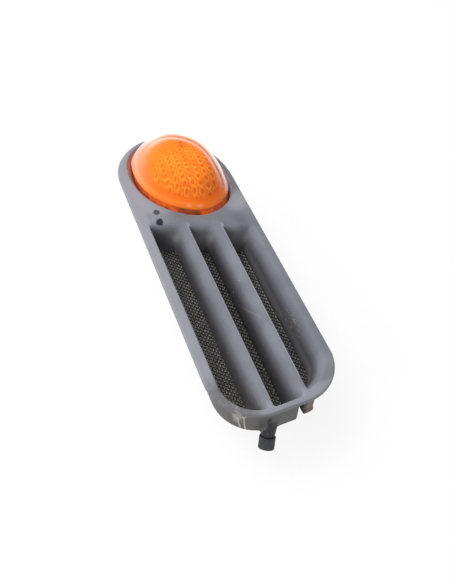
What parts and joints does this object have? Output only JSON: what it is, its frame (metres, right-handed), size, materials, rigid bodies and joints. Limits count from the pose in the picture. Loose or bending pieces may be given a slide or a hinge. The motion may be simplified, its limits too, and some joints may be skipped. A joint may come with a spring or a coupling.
{
  "type": "side repeater lamp in a vent grille",
  "caption": "Oblong moulded vent grille with slats and a mesh behind them, carrying an amber domed side repeater lamp with its wedge bulb and holder.",
  "frame": {"origin": "middle of the rim over the panel opening, in the plane of the panel's outer skin", "axes": "+Z out of the car, normal to the panel; +Y along the grille towards the lamp; +X across the grille, to the right as seen from outside with the lamp at the far end"},
  "size_m": [0.065, 0.2081, 0.0619],
  "materials": {
    "grille": "weathered blue-grey moulded plastic",
    "mesh": "dusty dark mesh",
    "lens": "amber transparent plastic",
    "lamp_body": "pale moulded reflector cup",
    "seal": "black foam rubber",
    "screw": "zinc plated",
    "bulb": "clear glass",
    "wire": "bare wire",
    "holder": "black moulded plastic",
    "contact": "bright",
    "sleeve": "dull dark grey"
  },
  "bodies": {
    "root": {"grille_frame": "grille", "mesh_screen": "mesh", "lens": "lens", "lens_gasket": "seal", "lamp_body": "lamp_body", "lamp_screw_left": "screw", "lamp_screw_right": "screw", "bulb_glass": "bulb", "bulb_filament": "wire", "bulb_lead_left": "wire", "bulb_lead_right": "wire", "bulb_holder": "holder", "holder_seal": "seal", "contact_left": "contact", "contact_right": "contact", "peg_sleeve": "sleeve"}
  },
  "joints": []
}
